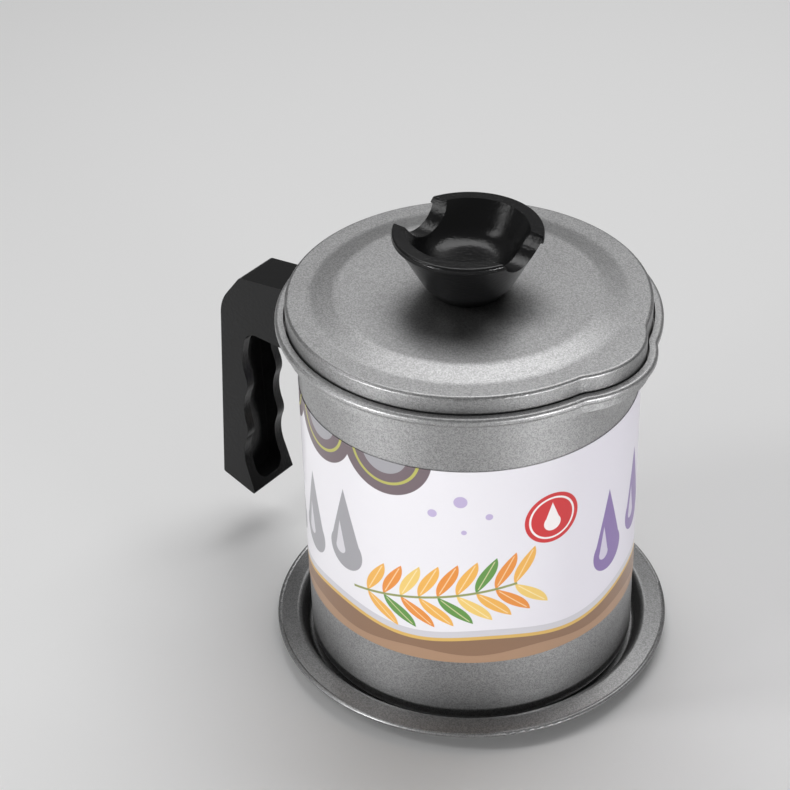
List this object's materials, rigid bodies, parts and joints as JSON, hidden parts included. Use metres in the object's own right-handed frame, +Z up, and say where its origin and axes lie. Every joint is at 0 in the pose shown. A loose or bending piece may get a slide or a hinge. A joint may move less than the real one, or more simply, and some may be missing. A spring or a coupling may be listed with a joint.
{
  "type": "bacon grease container",
  "caption": "Round coated-steel grease pot with pouring spout and side handle, hanging mesh strainer, pressed lid with a scooped knob, and a drip tray.",
  "frame": {"origin": "on the pot's axis at the drip tray's underside, where the set stands on the table", "axes": "+Z up along the pot's axis, +X towards the pouring spout, handle towards -X"},
  "size_m": [0.1736, 0.1362, 0.1593],
  "materials": {
    "coated_steel": "satin non-stick coating with a fine sparkle",
    "printed_paper": "glossy print",
    "plain_steel": "zinc plated",
    "stainless": "polished stainless",
    "steel_mesh": "woven stainless wire",
    "black_moulding": "satin black phenolic",
    "insert_brass": "turned"
  },
  "bodies": {
    "tray": {"drip_tray": "coated_steel"},
    "pot": {"pot_body": "coated_steel", "label_sleeve": "printed_paper", "handle_bracket": "plain_steel", "handle_nut": "plain_steel", "handle_grip": "black_moulding", "handle_washer": "plain_steel", "handle_screw": "plain_steel"},
    "strainer": {"strainer_ring": "stainless", "strainer_mesh": "steel_mesh", "strainer_hem": "stainless"},
    "lid": {"lid_shell": "coated_steel", "knob": "black_moulding", "knob_insert": "insert_brass", "knob_washer": "plain_steel", "knob_screw": "plain_steel"}
  },
  "joints": [
    {"name": "pot_lift", "type": "slide", "parent": "tray", "child": "pot", "axis": [0, 0, 1], "range_m": [0, 0.03]},
    {"name": "strainer_lift", "type": "slide", "parent": "pot", "child": "strainer", "axis": [0, 0, 1], "range_m": [0, 0.085]},
    {"name": "lid_lift", "type": "slide", "parent": "strainer", "child": "lid", "axis": [0, 0, 1], "range_m": [0, 0.06]}
  ]
}
